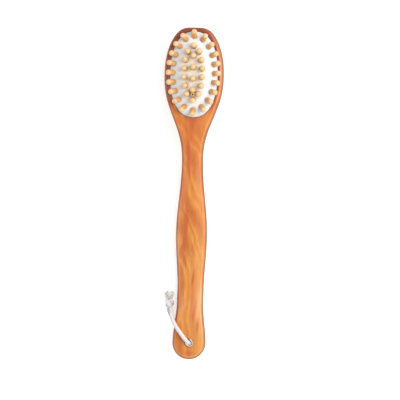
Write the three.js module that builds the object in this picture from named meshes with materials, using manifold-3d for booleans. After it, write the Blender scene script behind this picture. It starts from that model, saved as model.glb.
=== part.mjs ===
// A long-handled body brush for dry brushing, in millimetres.
// It lies as it is put down: on its bristle tips and the belly of its grip, massage side up.
// +Y runs from the butt of the handle to the crown of the head, and +Z points up, away from the bristles.
// The origin is on the surface it lies on, under the middle of its length.
import * as THREE from "three";
import { mergeVertices } from "three/addons/utils/BufferGeometryUtils.js";
import Module from "manifold-3d";

const { smoothstep, smootherstep, degToRad } = THREE.MathUtils;
const wasm = await Module();
wasm.setup();

// ---- Driving dimensions -------------------------------------------------------------------

// Wooden body: widths across X, and places along the length
const OVERALL_LENGTH = 420;
const HEAD_WIDTH = 75;
const CROWN_LENGTH = 58; // from the widest place of the head to its crown
const CROWN_SWEEP = 61; // from the widest place to where the head's curve would close, were the crown not cut
const CROWN_SQUARENESS = 0.86; // 1 is an ellipse, less is squarer
const CROWN_CORNER = 4; // length along which the cut crown rounds into the sides
const CROWN_ARCH_RADIUS = 300;
const SHOULDER_LENGTH = 113; // from the narrowest neck to the widest head
const NECK_WIDTH = 26.8;
const GRIP_WIDTH = 39.5;
const GRIP_PLACE = 158; // the places along the handle are measured from its butt end
const WAIST_WIDTH = 33.3;
const WAIST_START = 72;
const WAIST_END = 88;
const BUTT_WIDTH = 42;
const EDGE_RADIUS = 5;

// Wooden body: thickness, and height of the underside over the surface it lies on
const HEAD_THICKNESS = 18;
const NECK_THICKNESS = 16;
const GRIP_THICKNESS = 18;
const BUTT_THICKNESS = 14;
const BUTT_LIFT = 8;
const BUTT_LEVEL_END = 40;
const BELLY_PLACE = 102;
const THICK_GRIP_PLACE = 150;
const HEAD_LEVEL_START = 300;

// Hole for the hanging loop
const HOLE_RADIUS = 5.2;
const HOLE_MOUTH_RADIUS = 1.2;

// Recess for the cushion
const RIM_WIDTH = 7;
const CROWN_RIM = 5.2;
const RECESS_LENGTH = 108.6;
const OVAL_POWER = 2.3; // 2 is an ellipse, more is squarer
const RECESS_DEPTH = 4.5; // to the ledge that the cushion sits on
const LEDGE_WIDTH = 3;
const WELL_DEPTH = 6; // air space below the ledge
const LIP_RADIUS = 1.4;

// Rubber cushion
const CUSHION_THICKNESS = 2.2;
const CUSHION_GAP = 0.3;
const DOME_HEIGHT = 7.9;
const VENT_RADIUS = 1;
const VENT_LIP = 1.1;

// Wooden massage pins
const PIN_HEAD_RADIUS = 3.6;
const PIN_SHANK_RADIUS = 3.0;
const PIN_BASE_RADIUS = 3.45;
const PIN_LENGTH = 13.5; // from the cushion to the top of the round head
const PIN_STEM_RADIUS = 1.4;
const PIN_STEM_CLEARANCE = 0.6;
const PIN_CLEARANCE = 0.4; // between a pin and the faces of the rubber above and below
const PIN_RIVET_RADIUS = 2.4;
const PIN_RIVET_THICKNESS = 1.2;
const OUTER_RING_SHARE = 0.85; // rings of pins follow the cushion's own oval at these shares of it
const OUTER_RING_COUNT = 20;
const OUTER_RING_LEAN = 33;
const INNER_RING_WIDTH = 21.4;
const INNER_RING_LENGTH = 67;
const INNER_RING_COUNT = 14;
const INNER_RING_LEAN = 7;
const CENTRE_PIN_PITCH = 14.4;
const CENTRE_PIN_COUNT = 4;
const PIN_FIELD_SHIFT = 1.4; // the field of pins sits this far towards the crown on its cushion

// Natural bristle tufts
const BRISTLE_LENGTH = 20;
const BRISTLE_GAP = 0.3;
const BRISTLE_ROW_COUNT = 11;
const BRISTLE_MARGIN = 9; // from the head's edge to the middle of the outermost tufts
const TUFT_PITCH = 8.2;
const TUFT_ROOT_RADIUS = 2;
const TUFT_TIP_RADIUS = 4.6;

// Cotton hanging loop
const CORD_DIAMETER = 5;
const CORD_SIDES = 8;
const CORD_STEPS = 56;
const KNOT_CENTRE = new THREE.Vector3(-27, 49.5, 6.2); // X and Y from the middle of the hole
const KNOT_RADII = new THREE.Vector3(6, 5.9, 5.8);
const TAIL_LENGTH = 11;
const TAIL_ROOT_RADIUS = 2.5;
const TAIL_TIP_RADIUS = 3.3;
const TAIL_SPLAY = 14;
const TAIL_GAP = 0.4;

// The cord's middle line: from the knot over the handle, down through the hole, and back beneath it.
// X and Y are measured from the middle of the hole.
const CORD_POINTS = [
  [-24.5, 42.8, 8.9],
  [-23.9, 39.6, 11.8],
  [-22.9, 34.6, 16.2],
  [-20.9, 28.8, 20.9],
  [-17.4, 22.2, 24.5],
  [-11.7, 14.3, 25.9],
  [-5.9, 6.7, 26],
  [-2.4, 2.5, 24.5],
  [0.2, -0.2, 20.5],
  [1.1, -1.3, 15],
  [0.2, -0.2, 9.5],
  [-2.4, 2.5, 5.5],
  [-5.9, 6.7, 4],
  [-11.7, 13.9, 3.4],
  [-17.6, 21.4, 3.2],
  [-22, 28.2, 3.1],
  [-25.4, 34.6, 3.1],
  [-27.8, 40.2, 3.2],
  [-28.5, 43, 3.4],
];

// ---- Sizes that follow from them ----------------------------------------------------------

const BUTT_RADIUS = BUTT_WIDTH / 2;
const HEAD_PLACE = OVERALL_LENGTH - CROWN_LENGTH;
const NECK_PLACE = HEAD_PLACE - SHOULDER_LENGTH;
const HEAD_UNDERSIDE = BRISTLE_LENGTH;
const HEAD_TOP = HEAD_UNDERSIDE + HEAD_THICKNESS;
const LEDGE_TOP = HEAD_TOP - RECESS_DEPTH;
const WELL_FLOOR = LEDGE_TOP - WELL_DEPTH;
const RECESS_HALF_WIDTH = HEAD_WIDTH / 2 - RIM_WIDTH;
const RECESS_HALF_LENGTH = RECESS_LENGTH / 2;
const RECESS_CENTRE = yAt(OVERALL_LENGTH - CROWN_RIM - RECESS_HALF_LENGTH);
const CUSHION_HALF_WIDTH = RECESS_HALF_WIDTH - CUSHION_GAP;
const CUSHION_HALF_LENGTH = RECESS_HALF_LENGTH - CUSHION_GAP;
const CUSHION_UNDERSIDE = LEDGE_TOP + CUSHION_GAP;
const CUSHION_EDGE_TOP = CUSHION_UNDERSIDE + CUSHION_THICKNESS;
const CORD_RADIUS = CORD_DIAMETER / 2;
const HOLE_Y = yAt(BUTT_RADIUS);

/** The Y of a place given by its distance from the butt end. */
function yAt(place) {
  return place - OVERALL_LENGTH / 2;
}

/** A size that eases from one station to the next along the handle. */
function along(place, stations) {
  const next = stations.findIndex((station) => station.place >= place);
  if (next === -1) return stations.at(-1).size;
  if (next === 0) return stations[0].size;
  const before = stations[next - 1];
  const after = stations[next];
  const ease = after.ease ?? smoothstep;
  return before.size + (after.size - before.size) * ease(place, before.place, after.place);
}

const HALF_WIDTHS = [
  { place: BUTT_RADIUS, size: BUTT_RADIUS },
  { place: WAIST_START, size: WAIST_WIDTH / 2 },
  { place: WAIST_END, size: WAIST_WIDTH / 2 },
  { place: GRIP_PLACE, size: GRIP_WIDTH / 2 },
  { place: NECK_PLACE, size: NECK_WIDTH / 2 },
  { place: HEAD_PLACE, size: HEAD_WIDTH / 2, ease: smootherstep },
];

const THICKNESSES = [
  { place: BUTT_LEVEL_END, size: BUTT_THICKNESS },
  { place: THICK_GRIP_PLACE, size: GRIP_THICKNESS },
  { place: NECK_PLACE, size: NECK_THICKNESS },
  { place: HEAD_LEVEL_START, size: HEAD_THICKNESS },
];

const UNDERSIDES = [
  { place: BUTT_LEVEL_END, size: BUTT_LIFT },
  { place: BELLY_PLACE, size: 0 },
  { place: HEAD_LEVEL_START, size: HEAD_UNDERSIDE },
];

// ---- Shape helpers ------------------------------------------------------------------------

/** A closed mesh as a solid that can be joined and cut. */
function solidOf(geometry) {
  const bare = geometry.clone();
  bare.deleteAttribute("normal");
  bare.deleteAttribute("uv");
  const merged = mergeVertices(bare, 1e-3);
  const faces = [];
  const index = merged.index.array;
  for (let i = 0; i < index.length; i += 3) {
    const [a, b, c] = index.slice(i, i + 3);
    if (a !== b && b !== c && c !== a) faces.push(a, b, c);
  }
  const vertProperties = merged.attributes.position.array;
  return new wasm.Manifold(
    new wasm.Mesh({ numProp: 3, vertProperties, triVerts: new Uint32Array(faces) }),
  );
}

/** A solid as a geometry again. */
function geometryOf(solid) {
  const { vertProperties, triVerts } = solid.getMesh();
  const geometry = new THREE.BufferGeometry();
  geometry.setAttribute("position", new THREE.BufferAttribute(vertProperties, 3));
  geometry.setIndex(new THREE.BufferAttribute(triVerts, 1));
  geometry.computeVertexNormals();
  return geometry;
}

/** A skin over a row of rings that all have the same number of points. */
function skin(rings) {
  const count = rings[0].length;
  const positions = rings.flat(2);
  const faces = [];
  for (let ring = 0; ring + 1 < rings.length; ring++) {
    for (let i = 0; i < count; i++) {
      const a = ring * count + i;
      const b = ring * count + ((i + 1) % count);
      faces.push(a, b, b + count, a, b + count, a + count);
    }
  }
  const geometry = new THREE.BufferGeometry();
  geometry.setAttribute("position", new THREE.Float32BufferAttribute(positions, 3));
  geometry.setIndex(faces);
  return geometry;
}

/** A point of the recess's rounded oval, at an angle, for given half sizes. */
function ovalPoint(angle, halfWidth, halfLength) {
  const across = Math.cos(angle);
  const lengthways = Math.sin(angle);
  const power = 2 / OVAL_POWER;
  return [
    halfWidth * Math.sign(across) * Math.abs(across) ** power,
    halfLength * Math.sign(lengthways) * Math.abs(lengthways) ** power,
  ];
}

/** A solid of oval rings, listed from its lowest point on the axis, outward, to its highest on the axis. */
function ovalSolid(levels, segments) {
  const rings = levels.map(([halfWidth, halfLength, z]) =>
    Array.from({ length: segments }, (_, i) => [
      ...ovalPoint((i / segments) * 2 * Math.PI, halfWidth, halfLength),
      z,
    ]),
  );
  return solidOf(skin(rings));
}

/** A named piece with its own material. */
function piece(name, geometry, material) {
  const mesh = new THREE.Mesh(geometry, material);
  mesh.name = name;
  return mesh;
}

// ---- Materials ----------------------------------------------------------------------------

const lacqueredWood = new THREE.MeshStandardMaterial({ color: 0xdd7d43, roughness: 0.35, metalness: 0 });
const paleWood = new THREE.MeshStandardMaterial({ color: 0xf3d9a4, roughness: 0.55, metalness: 0 });
const whiteRubber = new THREE.MeshStandardMaterial({ color: 0xf1efec, roughness: 0.5, metalness: 0 });
const naturalBristle = new THREE.MeshStandardMaterial({ color: 0xd8b98a, roughness: 0.8, metalness: 0 });
const cottonCord = new THREE.MeshStandardMaterial({ color: 0xece8de, roughness: 0.95, metalness: 0 });

// ---- Wooden body --------------------------------------------------------------------------

const CROWN_STEPS = [80, 70, 58, 44, 29, 14, 0]; // degrees round the head's curve, from crown to widest place
const CROWN_FLATS = [0, 0.4, 0.8]; // shares of the cut crown's flat part
const CORNER_STEPS = [0.25, 0.5, 0.75];
const SHOULDER_STEPS = 14;
const HANDLE_STEPS = 24;
const BUTT_STEPS = 8;
const EDGE_STEPS = 3;
const OVAL_SEGMENTS = 36;

/** The head's curve as [X, place], at an angle from its widest place. */
function crownPoint(angle) {
  return [
    (HEAD_WIDTH / 2) * Math.cos(angle) ** CROWN_SQUARENESS,
    HEAD_PLACE + CROWN_SWEEP * Math.sin(angle),
  ];
}

/** The body's outline on its +X side, from the middle of the crown to the middle of the butt end. */
function outline() {
  const cutAngle = Math.asin(CROWN_LENGTH / CROWN_SWEEP);
  const cornerEndAngle = Math.asin((CROWN_LENGTH - CROWN_CORNER) / CROWN_SWEEP);
  const cutX = crownPoint(cutAngle)[0];
  const cornerEnd = crownPoint(cornerEndAngle);
  const cornerStartX = cutX - (cornerEnd[0] - cutX);
  const archAt = (x) => OVERALL_LENGTH - x ** 2 / (2 * CROWN_ARCH_RADIUS);
  const corner = new THREE.QuadraticBezierCurve(
    new THREE.Vector2(cornerStartX, archAt(cornerStartX)),
    new THREE.Vector2(cutX, archAt(cutX)),
    new THREE.Vector2(...cornerEnd),
  );
  const points = CROWN_FLATS.map((share) => [share * cornerStartX, archAt(share * cornerStartX)]);
  points.push([cornerStartX, archAt(cornerStartX)]);
  points.push(...CORNER_STEPS.map((share) => corner.getPoint(share).toArray()), cornerEnd);
  for (const step of CROWN_STEPS) {
    const angle = degToRad(step);
    if (angle < cornerEndAngle - degToRad(2)) points.push(crownPoint(angle));
  }
  for (let i = 1; i <= SHOULDER_STEPS; i++) {
    const place = HEAD_PLACE - (SHOULDER_LENGTH * i) / SHOULDER_STEPS;
    points.push([along(place, HALF_WIDTHS), place]);
  }
  for (let i = 1; i <= HANDLE_STEPS; i++) {
    const place = NECK_PLACE + ((BUTT_RADIUS - NECK_PLACE) * i) / HANDLE_STEPS;
    points.push([along(place, HALF_WIDTHS), place]);
  }
  for (let i = 1; i <= BUTT_STEPS; i++) {
    const angle = ((Math.PI / 2) * i) / BUTT_STEPS;
    points.push([BUTT_RADIUS * Math.cos(angle), BUTT_RADIUS * (1 - Math.sin(angle))]);
  }
  return points;
}

/** The direction away from the body at each point of the outline. */
function outlineNormals(points) {
  return points.map((_, i) => {
    if (i === 0) return [0, 1];
    if (i === points.length - 1) return [0, -1];
    const [beforeX, beforePlace] = points[i - 1];
    const [afterX, afterPlace] = points[i + 1];
    const length = Math.hypot(afterX - beforeX, afterPlace - beforePlace);
    return [(beforePlace - afterPlace) / length, (afterX - beforeX) / length];
  });
}

/** One side of a section through the rounded board, from its top face to its underside. */
function sectionSide([x, place], [normalX, normalPlace], side) {
  const points = [];
  for (const face of [1, -1]) {
    for (let i = 0; i <= EDGE_STEPS; i++) {
      const step = face > 0 ? i : EDGE_STEPS - i;
      const angle = ((Math.PI / 2) * step) / EDGE_STEPS;
      const inset = EDGE_RADIUS * (1 - Math.sin(angle));
      const drop = EDGE_RADIUS * (1 - Math.cos(angle));
      const insetX = Math.abs(x) < 1e-6 ? 0 : x - inset * normalX;
      const insetPlace = place - inset * normalPlace;
      const underside = along(insetPlace, UNDERSIDES);
      const top = underside + along(insetPlace, THICKNESSES);
      points.push([side * insetX, yAt(insetPlace), face > 0 ? top - drop : underside + drop]);
    }
  }
  return points;
}

function makeBody() {
  const points = outline();
  const normals = outlineNormals(points);
  const rings = points.map((point, i) => {
    const right = sectionSide(point, normals[i], 1);
    const left = sectionSide(point, normals[i], -1);
    return [...left, ...right.reverse()];
  });
  const board = solidOf(skin(rings));
  return geometryOf(board.subtract(recessCutter()).subtract(holeCutter()));
}

/** The space of the recess: a well for air, a ledge for the cushion, and a rounded lip. */
function recessCutter() {
  const level = (outset, z) => [RECESS_HALF_WIDTH + outset, RECESS_HALF_LENGTH + outset, z];
  const above = HEAD_TOP + 1;
  const levels = [
    [0, 0, WELL_FLOOR],
    level(-LEDGE_WIDTH, WELL_FLOOR),
    level(-LEDGE_WIDTH, LEDGE_TOP),
    level(0, LEDGE_TOP),
    level(0, HEAD_TOP - LIP_RADIUS),
    level(LIP_RADIUS * (1 - Math.SQRT1_2), HEAD_TOP - LIP_RADIUS * (1 - Math.SQRT1_2)),
    level(LIP_RADIUS, HEAD_TOP),
    level(LIP_RADIUS, above),
    [0, 0, above],
  ];
  return ovalSolid(levels, OVAL_SEGMENTS).translate([0, RECESS_CENTRE, 0]);
}

/** The round hole for the hanging loop, with rounded mouths, on the middle of the round butt. */
function holeCutter() {
  const mouth = HOLE_RADIUS + HOLE_MOUTH_RADIUS;
  const low = BUTT_LIFT;
  const high = BUTT_LIFT + BUTT_THICKNESS;
  const arc = [30, 60].map((degrees) => [
    mouth - HOLE_MOUTH_RADIUS * Math.sin(degToRad(degrees)),
    HOLE_MOUTH_RADIUS * (1 - Math.cos(degToRad(degrees))),
  ]);
  const profile = [
    [0, low - 1],
    [mouth, low - 1],
    [mouth, low],
    ...arc.map(([radius, rise]) => [radius, low + rise]),
    [HOLE_RADIUS, low + HOLE_MOUTH_RADIUS],
    [HOLE_RADIUS, high - HOLE_MOUTH_RADIUS],
    ...arc.map(([radius, rise]) => [radius, high - rise]).reverse(),
    [mouth, high],
    [mouth, high + 1],
    [0, high + 1],
  ].map(([radius, z]) => new THREE.Vector2(radius, z));
  const turned = new THREE.LatheGeometry(profile, 20).rotateX(Math.PI / 2);
  return solidOf(turned).translate([0, HOLE_Y, 0]);
}

// ---- Rubber cushion -----------------------------------------------------------------------

/** How far out a point is on the cushion: 0 in the middle and 1 at the edge. */
function shareOut(x, y) {
  const across = Math.abs(x) / CUSHION_HALF_WIDTH;
  const lengthways = Math.abs(y) / CUSHION_HALF_LENGTH;
  return (across ** OVAL_POWER + lengthways ** OVAL_POWER) ** (1 / OVAL_POWER);
}

/** Height of the dome over the cushion's edge. */
function domeRise(share) {
  return DOME_HEIGHT * (1 - share ** 3);
}

/** The direction away from the dome at a point of it. */
function domeNormal(x, y) {
  const step = 0.01;
  const riseAt = (atX, atY) => domeRise(shareOut(atX, atY));
  const slopeX = (riseAt(x + step, y) - riseAt(x - step, y)) / (2 * step);
  const slopeY = (riseAt(x, y + step) - riseAt(x, y - step)) / (2 * step);
  return new THREE.Vector3(-slopeX, -slopeY, 1).normalize();
}

function makeCushion(pins) {
  const shares = [0.35, 0.6, 0.78, 0.91];
  const level = (share, z) => [CUSHION_HALF_WIDTH * share, CUSHION_HALF_LENGTH * share, z];
  const topOf = (share) => CUSHION_EDGE_TOP + domeRise(share);
  const seat = LEDGE_WIDTH + CUSHION_GAP;
  const thinShare = 1 - seat / CUSHION_HALF_WIDTH - 0.02;
  const underShares = [...shares.filter((share) => share < thinShare - 0.03), thinShare];
  const levels = [
    [0, 0, topOf(0) - CUSHION_THICKNESS],
    ...underShares.map((share) => level(share, topOf(share) - CUSHION_THICKNESS)),
    [CUSHION_HALF_WIDTH - seat, CUSHION_HALF_LENGTH - seat, CUSHION_UNDERSIDE],
    level(1, CUSHION_UNDERSIDE),
    level(1, CUSHION_EDGE_TOP),
    ...shares.map((share) => level(share, topOf(share))).reverse(),
    [0, 0, topOf(0)],
  ];
  let shell = ovalSolid(levels, OVAL_SEGMENTS);
  const lastCentrePin = (CENTRE_PIN_PITCH * (CENTRE_PIN_COUNT - 1)) / 2;
  const ventY = PIN_FIELD_SHIFT - (lastCentrePin + INNER_RING_LENGTH / 2) / 2;
  const ventTop = topOf(shareOut(0, ventY));
  const lip = new THREE.CylinderGeometry(VENT_RADIUS + VENT_LIP / 2, VENT_RADIUS + VENT_LIP, 1.6, 10);
  shell = shell.add(solidOf(lip.rotateX(Math.PI / 2).translate(0, ventY, ventTop)));
  const vent = new THREE.CylinderGeometry(VENT_RADIUS, VENT_RADIUS, 12, 8);
  shell = shell.subtract(solidOf(vent.rotateX(Math.PI / 2).translate(0, ventY, ventTop)));
  const holeRadius = PIN_STEM_RADIUS + PIN_STEM_CLEARANCE;
  for (const { base, turn } of pins) {
    const hole = new THREE.CylinderGeometry(holeRadius, holeRadius, 4 * CUSHION_THICKNESS, 6);
    shell = shell.subtract(
      solidOf(hole.applyQuaternion(turn).translate(base.x, base.y, base.z)),
    );
  }
  return geometryOf(shell);
}

// ---- Wooden massage pins ------------------------------------------------------------------

/** Where a pin of the field stands on the cushion, and how it leans away from the middle. */
function pinPlace(x, fieldY, lean) {
  const y = fieldY + PIN_FIELD_SHIFT;
  const base = new THREE.Vector3(x, y, CUSHION_EDGE_TOP + domeRise(shareOut(x, y)));
  const outward = new THREE.Vector3(
    x / CUSHION_HALF_WIDTH ** 2,
    fieldY / CUSHION_HALF_LENGTH ** 2,
    0,
  );
  if (outward.lengthSq() > 0) outward.normalize();
  const direction = new THREE.Vector3(0, 0, Math.cos(degToRad(lean)));
  direction.addScaledVector(outward, Math.sin(degToRad(lean)));
  const turn = new THREE.Quaternion().setFromUnitVectors(new THREE.Vector3(0, 1, 0), direction);
  const slant = Math.tan(direction.angleTo(domeNormal(x, y)));
  return { base, turn, slant };
}

/** Places spread evenly by distance round an oval ring, from the crown end on. */
function ringPlaces(count, halfWidth, halfLength, lean) {
  const fine = 720;
  const points = Array.from({ length: fine + 1 }, (_, i) => {
    const angle = Math.PI / 2 - (i / fine) * 2 * Math.PI;
    return new THREE.Vector2(halfWidth * Math.cos(angle), halfLength * Math.sin(angle));
  });
  const ring = new THREE.SplineCurve(points);
  ring.arcLengthDivisions = 2 * fine;
  return Array.from({ length: count }, (_, i) => {
    const point = ring.getPointAt(i / count);
    return pinPlace(point.x, point.y, lean);
  });
}

function pinPlaces() {
  const outer = ringPlaces(
    OUTER_RING_COUNT,
    CUSHION_HALF_WIDTH * OUTER_RING_SHARE,
    CUSHION_HALF_LENGTH * OUTER_RING_SHARE,
    OUTER_RING_LEAN,
  );
  const inner = ringPlaces(
    INNER_RING_COUNT,
    INNER_RING_WIDTH / 2,
    INNER_RING_LENGTH / 2,
    INNER_RING_LEAN,
  );
  const centre = Array.from({ length: CENTRE_PIN_COUNT }, (_, i) =>
    pinPlace(0, CENTRE_PIN_PITCH * ((CENTRE_PIN_COUNT - 1) / 2 - i), 0),
  );
  return { outer, inner, centre };
}

/**
 * One turned pin: a round head on a shank, a stem through the rubber and a rivet end below it.
 * slant is how steeply the rubber rises across the pin's foot.
 */
function pinGeometry(slant) {
  const headCentre = PIN_LENGTH - PIN_HEAD_RADIUS;
  const foot = PIN_CLEARANCE + PIN_BASE_RADIUS * slant;
  const stemEnd = -(CUSHION_THICKNESS * (1 + slant) + 2 * PIN_CLEARANCE + PIN_RIVET_RADIUS * slant);
  const headPoint = (degrees) => [
    PIN_HEAD_RADIUS * Math.cos(degToRad(degrees)),
    headCentre + PIN_HEAD_RADIUS * Math.sin(degToRad(degrees)),
  ];
  const profile = [
    [0, stemEnd - PIN_RIVET_THICKNESS],
    [PIN_RIVET_RADIUS, stemEnd - PIN_RIVET_THICKNESS],
    [PIN_STEM_RADIUS, stemEnd],
    [PIN_STEM_RADIUS, foot],
    [PIN_BASE_RADIUS, foot],
    [PIN_SHANK_RADIUS, headCentre * 0.55],
    headPoint(-5),
    headPoint(45),
    [0, PIN_LENGTH],
  ].map(([radius, height]) => new THREE.Vector2(radius, height));
  return new THREE.LatheGeometry(profile, 8);
}

function makePins(name, places) {
  return places.map(({ base, turn, slant }, i) => {
    const number = String(i + 1).padStart(2, "0");
    const pin = piece(`${name}_${number}`, pinGeometry(slant), paleWood);
    pin.position.copy(base);
    pin.quaternion.copy(turn);
    return pin;
  });
}

// ---- Bristles -----------------------------------------------------------------------------

/** Rows of tufts across the head. The flared tips of each row meet, as real bristle does. */
function makeBristleRows() {
  const fieldHalfWidth = HEAD_WIDTH / 2 - BRISTLE_MARGIN;
  const fieldHalfLength = RECESS_HALF_LENGTH + CROWN_RIM - BRISTLE_MARGIN;
  const rowPitch = (2 * fieldHalfLength) / BRISTLE_ROW_COUNT;
  const height = BRISTLE_LENGTH - BRISTLE_GAP;
  return Array.from({ length: BRISTLE_ROW_COUNT }, (_, i) => {
    const y = fieldHalfLength - rowPitch * (i + 0.5);
    const halfWidth = fieldHalfWidth * Math.sqrt(1 - (y / fieldHalfLength) ** 2);
    const count = 1 + Math.round((2 * halfWidth) / TUFT_PITCH);
    let row = null;
    for (let tuft = 0; tuft < count; tuft++) {
      const cone = new THREE.CylinderGeometry(TUFT_ROOT_RADIUS, TUFT_TIP_RADIUS, height, 6);
      const x = TUFT_PITCH * (tuft - (count - 1) / 2);
      const solid = solidOf(cone.rotateX(Math.PI / 2).rotateZ(Math.PI / 2).translate(x, 0, height / 2));
      row = row ? row.add(solid) : solid;
    }
    const mesh = piece(`bristle_row_${String(i + 1).padStart(2, "0")}`, geometryOf(row), naturalBristle);
    mesh.position.set(0, y, 0);
    return mesh;
  });
}

// ---- Hanging loop -------------------------------------------------------------------------

function makeCord() {
  const path = new THREE.CatmullRomCurve3(
    CORD_POINTS.map((point) => new THREE.Vector3(...point)),
    false,
    "centripetal",
  );
  const section = new THREE.Shape();
  for (let i = 0; i < CORD_SIDES; i++) {
    const angle = (i / CORD_SIDES) * 2 * Math.PI;
    const x = CORD_RADIUS * Math.cos(angle);
    const y = CORD_RADIUS * Math.sin(angle);
    if (i === 0) section.moveTo(x, y);
    else section.lineTo(x, y);
  }
  section.closePath();
  const tube = new THREE.ExtrudeGeometry(section, {
    steps: CORD_STEPS,
    extrudePath: path,
    curveSegments: 1,
    bevelEnabled: false,
  });
  return piece("hanging_cord", tube, cottonCord);
}

function makeKnot() {
  const ball = new THREE.SphereGeometry(1, 12, 8);
  const knot = piece("cord_knot", ball, cottonCord);
  knot.scale.copy(KNOT_RADII);
  knot.position.copy(KNOT_CENTRE);
  return knot;
}

/** The two frayed ends, which lie on the surface past the knot. */
function makeTails() {
  return [-1, 1].map((side, i) => {
    const tail = new THREE.CylinderGeometry(TAIL_TIP_RADIUS, TAIL_ROOT_RADIUS, TAIL_LENGTH, 8);
    const mesh = piece(`cord_tail_${i + 1}`, tail, cottonCord);
    const splay = degToRad(TAIL_SPLAY);
    mesh.position.set(
      KNOT_CENTRE.x + side * (TAIL_ROOT_RADIUS + TAIL_GAP + (TAIL_LENGTH / 2) * Math.sin(splay)),
      KNOT_CENTRE.y + KNOT_RADII.y + (TAIL_LENGTH / 2) * Math.cos(splay),
      TAIL_TIP_RADIUS + TAIL_GAP,
    );
    mesh.rotation.z = -side * splay;
    return mesh;
  });
}

// ---- The whole brush ----------------------------------------------------------------------

const brush = new THREE.Group();

brush.add(piece("brush_body", makeBody(), lacqueredWood));

const places = pinPlaces();
const cushionGroup = new THREE.Group();
cushionGroup.position.y = RECESS_CENTRE;
const allPlaces = [...places.outer, ...places.inner, ...places.centre];
cushionGroup.add(piece("rubber_cushion", makeCushion(allPlaces), whiteRubber));
cushionGroup.add(...makePins("outer_pin", places.outer));
cushionGroup.add(...makePins("inner_pin", places.inner));
cushionGroup.add(...makePins("centre_pin", places.centre));
brush.add(cushionGroup);

const bristleGroup = new THREE.Group();
bristleGroup.position.y = RECESS_CENTRE;
bristleGroup.add(...makeBristleRows());
brush.add(bristleGroup);

const loopGroup = new THREE.Group();
loopGroup.position.y = HOLE_Y;
loopGroup.add(makeCord(), makeKnot(), ...makeTails());
brush.add(loopGroup);

export default brush;
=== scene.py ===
# %% [markdown]
# # A long-handled body brush
#
# The brush has a wooden body with a flat, wide head. One face of the head holds a white rubber cushion
# with turned wooden pins for massage, and the other holds tufts of natural bristle. A cotton cord is
# looped through a hole at the butt of the handle, and tied in a knot with frayed ends.
#
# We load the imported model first. It is the fixed frame: every piece made here goes where it says.

# %% Load the frame
import math

import bpy
import numpy as np
from mathutils import Matrix, Vector


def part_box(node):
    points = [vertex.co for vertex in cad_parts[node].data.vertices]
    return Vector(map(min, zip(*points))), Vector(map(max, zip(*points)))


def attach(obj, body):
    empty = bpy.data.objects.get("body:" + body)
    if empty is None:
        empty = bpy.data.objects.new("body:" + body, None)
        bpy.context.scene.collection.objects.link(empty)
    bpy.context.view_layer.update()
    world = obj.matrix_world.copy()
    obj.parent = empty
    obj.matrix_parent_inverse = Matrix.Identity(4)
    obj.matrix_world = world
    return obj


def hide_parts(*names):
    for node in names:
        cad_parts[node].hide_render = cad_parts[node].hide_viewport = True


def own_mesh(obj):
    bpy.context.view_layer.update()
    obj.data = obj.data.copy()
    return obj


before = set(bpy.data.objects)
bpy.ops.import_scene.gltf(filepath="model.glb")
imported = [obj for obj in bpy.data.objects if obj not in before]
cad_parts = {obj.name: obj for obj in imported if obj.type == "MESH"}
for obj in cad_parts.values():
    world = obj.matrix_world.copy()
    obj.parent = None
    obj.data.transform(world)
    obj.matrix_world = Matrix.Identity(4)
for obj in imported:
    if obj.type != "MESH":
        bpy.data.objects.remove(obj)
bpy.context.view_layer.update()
MM = 0.001

# %% [markdown]
# ## The camera
#
# A flat product view could be made with an orthographic camera, but a long lens high above the brush
# keeps the little perspective that shows the outer pins leaning away from the middle. The camera looks
# down, from a few degrees to the right, and is turned by about a degree, so that the brush lies slightly
# askew, as by hand.

# %% The camera
CAMERA_HEIGHT = 3.0
FRAME_SIDE = 0.505
ASKEW = math.radians(1.32)
AIM = (0.0109, -0.0076)
SIDEWAYS = math.radians(4)
AIM_HEIGHT = 0.03
turned = Matrix.Rotation(ASKEW, 4, "Z") @ Matrix.Rotation(SIDEWAYS, 4, "Y")
reach = Matrix.Translation((0, 0, CAMERA_HEIGHT - AIM_HEIGHT))
bpy.ops.object.camera_add()
camera = bpy.context.object
camera.matrix_world = Matrix.Translation((*AIM, AIM_HEIGHT)) @ turned @ reach
camera.name = "camera"
camera.data.lens = camera.data.sensor_width * (CAMERA_HEIGHT - AIM_HEIGHT) / FRAME_SIDE
bpy.context.scene.camera = camera
print("lens:", round(camera.data.lens), "mm")

# %% [markdown]
# ## Small helpers
#
# Operators act on whatever is selected, so every step starts by choosing its piece. Coordinates are read
# and written as one array, which is quicker and clearer than moving points one at a time.


# %% Small helpers
def only(piece):
    """Selects this piece alone, in object mode."""
    bpy.ops.object.select_all(action="DESELECT")
    piece.select_set(True)
    bpy.context.view_layer.objects.active = piece


def points_of(piece):
    co = np.empty(len(piece.data.vertices) * 3)
    piece.data.vertices.foreach_get("co", co)
    return co.reshape(-1, 3)


def move_points(piece, co):
    piece.data.vertices.foreach_set("co", np.ascontiguousarray(co, dtype=np.float32).ravel())
    piece.data.update()


def edit(piece, faces=True):
    """Opens the piece in edit mode with everything selected."""
    only(piece)
    bpy.ops.object.mode_set(mode="EDIT")
    bpy.ops.mesh.select_mode(type="FACE" if faces else "EDGE")
    bpy.ops.mesh.select_all(action="SELECT")


def close(piece):
    """Merges doubles, turns the faces outward and leaves edit mode."""
    bpy.ops.mesh.select_all(action="SELECT")
    bpy.ops.mesh.remove_doubles(threshold=1e-6)
    bpy.ops.mesh.normals_make_consistent(inside=False)
    bpy.ops.object.mode_set(mode="OBJECT")


def modify(piece, kind, **settings):
    """Adds one modifier, sets it and applies it."""
    only(piece)
    modifier = piece.modifiers.new(kind, kind)
    for key, value in settings.items():
        setattr(modifier, key, value)
    bpy.ops.object.modifier_apply(modifier=modifier.name)


def smooth(piece, degrees=35):
    only(piece)
    bpy.ops.object.shade_smooth_by_angle(angle=math.radians(degrees))


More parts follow.
